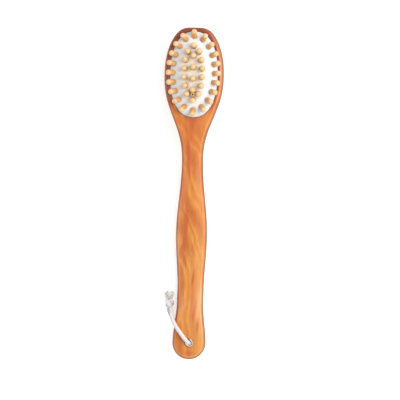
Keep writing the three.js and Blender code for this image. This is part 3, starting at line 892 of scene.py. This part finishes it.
# %% The wood's tones
figure = ramp(
    lacquered,
    growth.outputs["Fac"],
    [
        (0.0, (0.470, 0.125, 0.016)),
        (0.45, (0.590, 0.200, 0.026)),
        (0.8, (0.680, 0.290, 0.048)),
        (1.0, (0.570, 0.175, 0.022)),
    ],
)
heart_share = grey_ramp(lacquered, heart, 0.52, 0.72, 0.0, 0.75)
reddened = blend_colours(lacquered, heart_share, figure, (0.500, 0.080, 0.016))
streak_share = grey_ramp(lacquered, streak, 0.50, 0.74, 0.0, 0.6)
streaked = blend_colours(lacquered, streak_share, reddened, (0.400, 0.085, 0.012))
patch_share = grey_ramp(lacquered, patch, 0.40, 0.68, 0.0, 0.6)
patched = blend_colours(lacquered, patch_share, streaked, (0.680, 0.310, 0.066))

# %% [markdown]
# Every board has a few marks that stand out, and noise alone seldom makes them. These eleven red ones are
# listed one by one. Each is a soft oval, broken up by the streaks so that no outline shows, and the
# finest fibres are laid over them last.

# %% Marks in the heartwood
# X and Y of the middle, half width and half length in millimetres, turn in degrees, strength
HEART_MARKS = [
    (-3.0, 84, 10.0, 36, 0, 0.4),
    (-4.5, 46, 3.6, 32, 2, 0.95),
    (-6.5, -32, 4.6, 34, -3, 0.8),
    (-11.0, -70, 4.6, 17, -14, 1.0),
    (-8.0, -84, 3.0, 11, 14, 0.9),
    (-11.0, -99, 2.0, 12, 8, 0.7),
    (2.5, -70, 3.0, 13, 10, 0.6),
    (4.5, -108, 2.4, 15, -7, 0.8),
    (8.0, -146, 3.2, 20, -9, 0.9),
    (11.5, -166, 2.6, 14, -6, 0.8),
    (-1.0, -202, 11.0, 5, 0, 0.45),
]
marks = 0.0
for mark_x, mark_y, half_wide, half_long, degrees, share in HEART_MARKS:
    middle, half_size = (mark_x * MM, mark_y * MM), (half_wide * MM, half_long * MM)
    ball = soft_ball(lacquered, bent_place.outputs[0], middle, half_size, degrees)
    marks = arithmetic(lacquered, "MULTIPLY_ADD", ball, share, marks)
broken = arithmetic(lacquered, "MULTIPLY", marks, grey_ramp(lacquered, streak, 0.3, 0.6, 0.55, 1.0))
mark_share = grey_ramp(lacquered, broken, 0.02, 0.5, 0.0, 0.85)
marked = blend_colours(lacquered, mark_share, patched, (0.470, 0.090, 0.012))
fibre_shade = grey_ramp(lacquered, fibre, 0.36, 0.58, 0.72, 1.0)
fibred = blend_colours(lacquered, 0.62, marked, fibre_shade, "MULTIPLY")

# %% [markdown]
# The rounded edges get a painted highlight, a light band where the rounding starts, and a painted shade,
# a dark line on the steep part. Both follow how far the surface faces up or down, so they keep to the
# edge all the way round. The wood is also a little redder towards the head.

# %% Edges with painted highlight and shade, and the tone of the head
facing = split(lacquered, node(lacquered, "NewGeometry").outputs["Normal"])
flatness = arithmetic(lacquered, "ABSOLUTE", facing["Z"])
# painted highlight: a lighter band where the rounding of the edge starts
highlight_stops = [(0.84, 0.0), (0.93, 0.42), (0.972, 0.42), (0.992, 0.0)]
painted_highlight = ramp(lacquered, flatness, [(flat, (share,) * 3) for flat, share in highlight_stops])
highlighted = blend_colours(lacquered, painted_highlight, fibred, (0.740, 0.330, 0.150))
along_board = split(lacquered, place)["Y"]
towards_head = map_range(lacquered, along_board, -0.09, 0.08, 0.0, 0.85)
warmed = blend_colours(lacquered, towards_head, highlighted, (0.93, 0.69, 0.52), "MULTIPLY")
# painted shade: the steep part of the rounded edge is darkened
painted_edge_shade = grey_ramp(lacquered, flatness, 0.50, 0.84, 0.92, 0.0)
edged = blend_colours(lacquered, painted_edge_shade, warmed, (0.145, 0.035, 0.007))

# %% [markdown]
# A darker, redder painted shade lies on the lip of the recess, where the rim meets the cushion. It is an
# oval like the recess's own, a little off its middle, and weaker at the lower end. A clear lacquer lies
# over all of it.

# %% The painted shade on the lip, and the lacquer
lip_place = node(
    lacquered,
    "Mapping",
    {"Location": (-0.0014, 0.1520, 0), "Scale": (0.0305, 0.0543, 1)},
    vector_type="TEXTURE",
)
join(lacquered, place, lip_place.inputs["Vector"])
lip_part = split(lacquered, lip_place.outputs["Vector"])
powers = [
    arithmetic(lacquered, "POWER", arithmetic(lacquered, "ABSOLUTE", lip_part[axis]), OVAL)
    for axis in ("X", "Y")
]
oval = arithmetic(lacquered, "POWER", arithmetic(lacquered, "ADD", *powers), 1 / OVAL)
lip_share = map_range(lacquered, oval, 1.06, 1.18, 0.95, 0.0)
upper_end = map_range(lacquered, along_board, 0.106, 0.126, 0.12, 1.0)
painted_lip_shade = arithmetic(lacquered, "MULTIPLY", lip_share, upper_end)
# painted shade: the lip of the recess is darkened round the cushion
wood_colour = blend_colours(lacquered, painted_lip_shade, edged, (0.200, 0.030, 0.005))
join(lacquered, wood_colour, shader.inputs["Base Color"])
join(lacquered, grey_ramp(lacquered, fibre, 0.3, 0.7, 0.34, 0.5), shader.inputs["Roughness"])
shader.inputs["Coat Weight"].default_value = 0.3
shader.inputs["Specular IOR Level"].default_value = 0.35
shader.inputs["Coat Roughness"].default_value = 0.28
grain_height = arithmetic(lacquered, "MULTIPLY_ADD", streak, 0.5, fibre)
relief(lacquered, shader, grain_height, 0.00012, 0.35)
brush_wood.data.materials.append(lacquered)
stand_for(brush_wood, "brush", "lacquered_wood", "brush_body")

# %% [markdown]
# ## The rubber cushion
#
# It is a moulded shell of soft rubber over a pocket of air, fixed at its edge, so that the pins can give
# when they are pressed. Half of a sphere is pulled into the oval dome. Its rim is extruded down, in along
# the ledge and back under the dome, so the shell has its real thickness. Round each pin's foot the rubber
# is drawn in a little.

# %% Where the pins stand
CUSHION = (30.2, 54.0)
CUSHION_EDGE, DOME_RISE, RUBBER = 36.0, 7.9, 2.2
FIELD_SHIFT = 1.4
OUTER_SHARE, OUTER_LEAN = 0.85, 33
INNER_RING, INNER_LEAN = (10.7, 33.5), 7
CENTRE_PITCH = 14.4


def share_out(x, y):
    """0 in the middle of the cushion, 1 at its edge."""
    return ((np.abs(x) / CUSHION[0]) ** OVAL + (np.abs(y) / CUSHION[1]) ** OVAL) ** (1 / OVAL)


def dome_height(x, y):
    return CUSHION_EDGE + DOME_RISE * (1 - np.minimum(share_out(x, y), 1) ** 3)


def pin_place(x, field_y, lean):
    """The foot and the direction of a pin, in millimetres from the middle of the cushion."""
    y = field_y + FIELD_SHIFT
    out = Vector((x / CUSHION[0] ** 2, field_y / CUSHION[1] ** 2, 0)).normalized()
    tilt = math.radians(lean)
    return Vector((x, y, float(dome_height(x, y)))), out * math.sin(tilt) + Vector((0, 0, math.cos(tilt)))


def ring_of_pins(count, half_wide, half_long, lean):
    angle = math.pi / 2 - np.linspace(0, 2 * math.pi, 2881)
    line = np.stack([half_wide * np.cos(angle), half_long * np.sin(angle), 0 * angle], axis=1)
    run = np.concatenate([[0], np.cumsum(np.linalg.norm(np.diff(line, axis=0), axis=1))])
    at = np.arange(count) / count * run[-1]
    return [
        pin_place(float(np.interp(a, run, line[:, 0])), float(np.interp(a, run, line[:, 1])), lean)
        for a in at
    ]


pins = {
    "outer_pin": ring_of_pins(20, CUSHION[0] * OUTER_SHARE, CUSHION[1] * OUTER_SHARE, OUTER_LEAN),
    "inner_pin": ring_of_pins(14, *INNER_RING, INNER_LEAN),
    "centre_pin": [pin_place(0.0, CENTRE_PITCH * (1.5 - i), 0) for i in range(4)],
}
print("pins:", {kind: len(places) for kind, places in pins.items()})

# %% Make the rubber cushion
AROUND, RINGS = 192, 48
bpy.ops.object.select_all(action="DESELECT")
bpy.ops.mesh.primitive_uv_sphere_add(segments=AROUND, ring_count=2 * RINGS, radius=1)
rubber_dome = bpy.context.object
rubber_dome.name = "rubber_dome"
edit(rubber_dome)
bpy.ops.mesh.bisect(plane_co=(0, 0, 0), plane_no=(0, 0, 1), clear_inner=True)
bpy.ops.object.mode_set(mode="OBJECT")
co = points_of(rubber_dome)
share = np.arccos(np.clip(co[:, 2], -1, 1)) / (math.pi / 2)
angle = np.arctan2(co[:, 1], co[:, 0])
x = CUSHION[0] * share * np.sign(np.cos(angle)) * np.abs(np.cos(angle)) ** (2 / OVAL)
y = CUSHION[1] * share * np.sign(np.sin(angle)) * np.abs(np.sin(angle)) ** (2 / OVAL)
z = dome_height(x, y)
for kind in pins:
    for foot, _ in pins[kind]:
        away = np.hypot(x - foot.x, y - foot.y)
        z = z - 0.55 * np.exp(-((away / 3.6) ** 2)) + 0.12 * np.exp(-(((away - 5.2) / 1.4) ** 2))
move_points(rubber_dome, np.stack([x, y, z], axis=1) * MM)
on_edge = share > 1 - 1e-4
print("points on the dome's edge:", int(on_edge.sum()))

# %% [markdown]
# The rim of the half sphere is still open. Only its edge loop is selected, then extruded and resized
# through the levels of the underside until it closes in the middle.

# %% Close the underside of the cushion
edit(rubber_dome, faces=False)
bpy.ops.mesh.select_all(action="DESELECT")
bpy.ops.mesh.select_mode(type="VERT")
bpy.ops.object.mode_set(mode="OBJECT")
rubber_dome.data.vertices.foreach_set("select", on_edge)
bpy.ops.object.mode_set(mode="EDIT")
bpy.ops.mesh.select_mode(type="EDGE")
SEAT = 3.3
under_side = 1 - SEAT / CUSHION[0] - 0.02
# (half X, half Y, Z)
levels = [(*CUSHION, CUSHION_EDGE - RUBBER)]
levels.append((CUSHION[0] - SEAT, CUSHION[1] - SEAT, CUSHION_EDGE - RUBBER))
for s in (under_side, 0.72, 0.55, 0.38, 0.2, 0.06):
    levels.append((CUSHION[0] * s, CUSHION[1] * s, CUSHION_EDGE + DOME_RISE * (1 - s**3) - RUBBER))
wide, deep, low = *CUSHION, CUSHION_EDGE
for wider, deeper, high in levels:
    bpy.ops.mesh.extrude_region_move(TRANSFORM_OT_translate={"value": (0, 0, (high - low) * MM)})
    bpy.ops.transform.resize(value=(wider / wide, deeper / deep, 1), center_override=(0, 0, high * MM))
    wide, deep, low = wider, deeper, high
bpy.ops.mesh.merge(type="CENTER")
close(rubber_dome)
place_piece(rubber_dome, Matrix.Translation((0, RECESS_Y * MM, 0)))
measure(rubber_dome)

# %% [markdown]
# A vent lets the air out when the cushion is pressed. Its hole goes right through the rubber. Each pin's
# stem also has its own hole.

# %% Cut the vent and the stem holes
VENT = Vector((0.0, FIELD_SHIFT - (CENTRE_PITCH * 1.5 + INNER_RING[1]) / 2, 0.0))
vent_top = float(dome_height(VENT.x, VENT.y))
stem_holes = []
for places in pins.values():
    for foot, direction in places:
        turn = direction.to_track_quat("Z", "Y").to_matrix().to_4x4()
        spot = Vector((foot.x, foot.y + RECESS_Y, foot.z)) * MM
        stem_holes.append(Matrix.Translation(spot) @ turn)
stem_drill = raise_rings("stem_drill", 12, [(1.75, 1.75, -6), (1.75, 1.75, 4)])
cut_out(rubber_dome, repeat("stem_hole_cutter", stem_drill, stem_holes))
vent_drill = raise_rings("vent_drill", 24, [(1.6, 1.6, vent_top - 5), (1.6, 1.6, vent_top + 3)])
place_piece(vent_drill, Matrix.Translation((VENT.x * MM, (VENT.y + RECESS_Y) * MM, 0)))
cut_out(rubber_dome, vent_drill)
smooth(rubber_dome, 40)
measure(rubber_dome)

# %% [markdown]
# ## White rubber
#
# Moulded silicone-like rubber is nearly white, lets a little light in, and has a satin face with a fine
# even texture. Slow noise tints it faintly, and its middle, where the pins stand closest, is creamier: a
# painted warm reflection of the pins.

# %% White rubber
rubber, shader = new_material("white_rubber")
cloud = stretched_noise(rubber, (60, 60, 60), detail=3)
skin = stretched_noise(rubber, (2400, 2400, 2400), detail=2)
rubber_colour = ramp(rubber, cloud, [(0.35, (0.68, 0.715, 0.74)), (0.7, (0.745, 0.75, 0.74))])
rubber_place = node(rubber, "TexCoord").outputs["Object"]
# painted reflection: the middle of the cushion is tinted warm, as if lit by the pins
middle = soft_ball(rubber, rubber_place, (0, 0.150), (0.021, 0.046))
painted_bounce_share = grey_ramp(rubber, middle, 0.0, 0.6, 0.0, 0.7)
bounce_tinted = blend_colours(rubber, painted_bounce_share, rubber_colour, (0.74, 0.665, 0.52))
join(rubber, bounce_tinted, shader.inputs["Base Color"])
join(rubber, grey_ramp(rubber, skin, 0.3, 0.7, 0.42, 0.58), shader.inputs["Roughness"])
shader.inputs["Subsurface Weight"].default_value = 0.15
shader.inputs["Subsurface Radius"].default_value = (1.0, 0.8, 0.6)
shader.inputs["Subsurface Scale"].default_value = 0.002
relief(rubber, shader, skin, 0.00006, 0.4)
rubber_dome.data.materials.append(rubber)
stand_for(rubber_dome, "brush", "white_rubber", "rubber_cushion")
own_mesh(rubber_dome)

# %% [markdown]
# ## The massage pins
#
# Each pin is turned in one piece: a round head, a shank with a slight waist, a foot that sits on the
# rubber, a thin stem through it and a rivet end below. One pin is made as a stack of rings, and copied to
# every place, leaning as its place asks. A small attribute keeps how far up the pin each point is.

# %% Turn one pin
PIN_LENGTH, HEAD_RADIUS = 13.5, 3.6
head_middle = PIN_LENGTH - HEAD_RADIUS
profile = [(2.0, -4.6), (2.4, -4.4), (2.4, -3.6), (1.4, -3.2), (1.4, -0.3), (3.1, -0.25), (3.4, 0.1)]
profile += [(3.5, 0.9), (3.48, 2.0), (3.32, 3.3), (3.05, 4.5), (2.88, 5.5), (2.86, 6.3), (2.95, 7.0)]
profile += [
    (HEAD_RADIUS * math.cos(math.radians(a)), head_middle + HEAD_RADIUS * math.sin(math.radians(a)))
    for a in (-34, -23, -12, 0, 12, 24, 36, 48, 60, 72, 82)
]
pin_levels = [(r, r, h) for r, h in profile] + [(0, 0, PIN_LENGTH)]
pin_shape = raise_rings("pin_shape", 28, pin_levels)
along_pin = points_of(pin_shape)[:, 2] / (PIN_LENGTH * MM)
pin_shape.data.attributes.new("along", "FLOAT", "POINT").data.foreach_set("value", along_pin)
smooth(pin_shape, 50)
measure(pin_shape)

# %% [markdown]
# ## Turned pale wood
#
# The pins are of a pale, close-grained wood such as beech or birch, without stain. The grain runs up the
# pin, so the shank shows long fibres. The head is lighter, and the tone deepens to honey at the foot, as
# painted shade and painted warm reflection low among the pins.

# %% Pale wood
pale, shader = new_material("pale_wood")
up = node(pale, "Attribute", attribute_name="along").outputs["Fac"]
pores = stretched_noise(pale, (1100, 1100, 90), detail=3)
tone = stretched_noise(pale, (95, 95, 30), detail=1)
# painted shade and reflection: the pin darkens to honey from the head down to the foot
tone_and_foot_shade = ramp(
    pale,
    up,
    [
        (0.0, (0.56, 0.25, 0.045)),
        (0.42, (0.70, 0.37, 0.10)),
        (0.66, (0.73, 0.43, 0.175)),
        (0.95, (0.775, 0.515, 0.27)),
    ],
)
varied = blend_colours(pale, grey_ramp(pale, tone, 0.4, 0.7, 0.0, 0.6), tone_and_foot_shade, (0.66, 0.38, 0.12))
grained = blend_colours(pale, 0.45, varied, grey_ramp(pale, pores, 0.36, 0.6, 0.68, 1.0), "MULTIPLY")
join(pale, grained, shader.inputs["Base Color"])
join(pale, grey_ramp(pale, pores, 0.3, 0.7, 0.36, 0.55), shader.inputs["Roughness"])
shader.inputs["Coat Weight"].default_value = 0.25
shader.inputs["Coat Roughness"].default_value = 0.25
relief(pale, shader, pores, 0.00008, 0.4)
pin_shape.data.materials.append(pale)

# %% Set a pin at every place
BODY_OF = {"outer_pin": "outer_pins", "inner_pin": "inner_pins", "centre_pin": "centre_pins"}
for kind, places in pins.items():
    for number, (foot, direction) in enumerate(places, 1):
        pin = bpy.data.objects.new(f"turned_{kind}_{number:02d}", pin_shape.data.copy())
        bpy.context.scene.collection.objects.link(pin)
        roll = Matrix.Rotation(number * 2.4, 4, "Z")
        turn = direction.to_track_quat("Z", "Y").to_matrix().to_4x4()
        spot = Matrix.Translation(Vector((foot.x, foot.y + RECESS_Y, foot.z - 0.25)) * MM)
        place_piece(pin, spot @ turn @ roll)
        stand_for(pin, BODY_OF[kind], "pale_wood", f"{kind}_{number:02d}")
bpy.data.objects.remove(pin_shape)

# %% [markdown]
# The vent has its own bush of the same pale wood: a short hollow pin with a rounded top round a dark
# bore. It is turned like the pins, then bored out with a boolean.

# %% Make the vent bush
bush_levels = [(2.3, 2.3, -0.6), (2.3, 2.3, 3.0), (2.62, 2.62, 5.2), (2.7, 2.7, 6.6), (2.55, 2.55, 7.3)]
bush_levels += [(2.2, 2.2, 7.75), (1.7, 1.7, 7.95)]
vent_bush = raise_rings("vent_bush", 32, bush_levels)
cut_out(vent_bush, raise_rings("vent_bore", 20, [(1.1, 1.1, -3), (1.1, 1.1, 7.5), (1.5, 1.5, 8.3)]))
place_piece(vent_bush, Matrix.Translation(Vector((VENT.x, VENT.y + RECESS_Y, vent_top)) * MM))
full = np.full(len(vent_bush.data.vertices), 0.85)
vent_bush.data.attributes.new("along", "FLOAT", "POINT").data.foreach_set("value", full)
smooth(vent_bush, 40)
vent_bush.data.materials.append(pale)
stand_for(vent_bush, "inner_pins", "pale_wood")
measure(vent_bush)

# %% [markdown]
# ## The bristles
#
# A tuft is a bundle of hog bristle, folded in two and stapled into its hole. The bristles leave the hole
# packed tight and spread to the tips, where they are trimmed to one length, not perfectly. One bristle is
# a thin bent spike of a few faces. It is repeated 120 times in a tuft, and each row is a piece.

# %% Plant the tufts
BRISTLES = 120
ROOT_Z = 22.8
ROOT_SPREAD, TIP_SPREAD = 1.85, 4.25
STRAIGHT = 0.14  # the share that runs straight, a little more than what stands in the hole


def tuft(x, y):
    paths, radii = [], []
    for i in range(BRISTLES):
        share = math.sqrt((i + 0.5) / BRISTLES)
        around = i * GOLDEN_TURN + random_source.uniform(-0.3, 0.3)
        root = np.array([math.cos(around), math.sin(around)]) * share * ROOT_SPREAD
        tip = np.array([math.cos(around), math.sin(around)]) * share * TIP_SPREAD
        tip += random_source.uniform(-0.3, 0.3, 2)
        # how high the bristle ends: every fifth one may be a good deal shorter than the rest
        tip_height = random_source.uniform(0.3, 1.3 if i % 5 else 2.6)
        path = []
        for t in (0.0, STRAIGHT, 0.55, 1.0):
            sideways = root + (tip - root) * max(0, (t - STRAIGHT) / (1 - STRAIGHT)) ** 1.25
            path.append((x / MM + sideways[0], y / MM + sideways[1], ROOT_Z + (tip_height - ROOT_Z) * t))
        paths.append(np.array(path) * MM)
        radii.append(np.array([0.2, 0.2, 0.17, 0.1]) * MM)
    return paths, radii


bristle_rows = []
for name, places in tuft_places.items():
    paths, radii = [], []
    for x, y in places:
        more_paths, more_radii = tuft(x, y)
        paths += more_paths
        radii += more_radii
    row = thin_tubes(name.replace("bristle_row", "bristles"), paths, radii, sides=3)
    stand_for(row, "brush", "natural_bristle", name)
    bristle_rows.append(row)
measure(bristle_rows[-1])

# %% [markdown]
# ## Bristle
#
# Hog bristle is blond to brown, darker at the root and paler at the split tips, and shines along its
# length. Noise with a fine pitch across and a long one up gives each bristle its own tone.

# %% Natural bristle
bristle, shader = new_material("natural_bristle")
each = stretched_noise(bristle, (1700, 1700, 25), detail=2)
place = node(bristle, "TexCoord").outputs["Object"]
to_tip = map_range(bristle, split(bristle, place)["Z"], 0.020, 0.0, 0.0, 1.0)
blond_stops = [(0.3, (0.30, 0.165, 0.07)), (0.5, (0.56, 0.36, 0.17)), (0.7, (0.76, 0.56, 0.31))]
blond = ramp(bristle, each, blond_stops)
tipped = blend_colours(bristle, to_tip, blond, (1.0, 0.93, 0.80), "SOFT_LIGHT")
join(bristle, tipped, shader.inputs["Base Color"])
shader.inputs["Roughness"].default_value = 0.42
shader.inputs["Coat Weight"].default_value = 0.15
relief(bristle, shader, each, 0.00003, 0.3)
for row in bristle_rows:
    row.data.materials.append(bristle)

# %% [markdown]
# ## Floor and light
#
# The brush lies on a plain white board that glows softly, so that all round the brush it stays as pale as
# the room. One large soft lamp stands on the right, a little towards the crown, and gives the pins their
# shaded side. The pale surroundings fill the shade, so that the lacquer shows soft reflections along its
# rounded edges and no hard glare; the light bands there are also a painted highlight in the wood's
# colour.

# %% Floor
bpy.ops.object.select_all(action="DESELECT")
bpy.ops.mesh.primitive_plane_add(size=6, location=(0, 0, -0.0003))
floor = bpy.context.object
floor.name = "floor"
board, shader = new_material("white_board")
shader.inputs["Base Color"].default_value = (0.93, 0.93, 0.93, 1)
shader.inputs["Roughness"].default_value = 0.85
shader.inputs["Specular IOR Level"].default_value = 0.1
shader.inputs["Emission Color"].default_value = (1, 1, 1, 1)
shader.inputs["Emission Strength"].default_value = 0.42
floor.data.materials.append(board)

# %% Light
LAMP_PLACE = Vector((0.95, 0.35, 1.40))
facing_brush = (Vector((0, 0.03, 0)) - LAMP_PLACE).to_track_quat("-Z", "Y").to_euler()
bpy.ops.object.light_add(type="AREA", location=LAMP_PLACE, rotation=facing_brush)
key_lamp = bpy.context.object
key_lamp.name = "key_lamp"
key_lamp.data.size = 1.0
key_lamp.data.energy = 24
world = bpy.data.worlds.new("pale_room")
bpy.context.scene.world = world
world.use_nodes = True
world.node_tree.nodes["Background"].inputs["Color"].default_value = (1, 1, 1, 1)
world.node_tree.nodes["Background"].inputs["Strength"].default_value = 0.82
bpy.context.scene.view_settings.view_transform = "Standard"
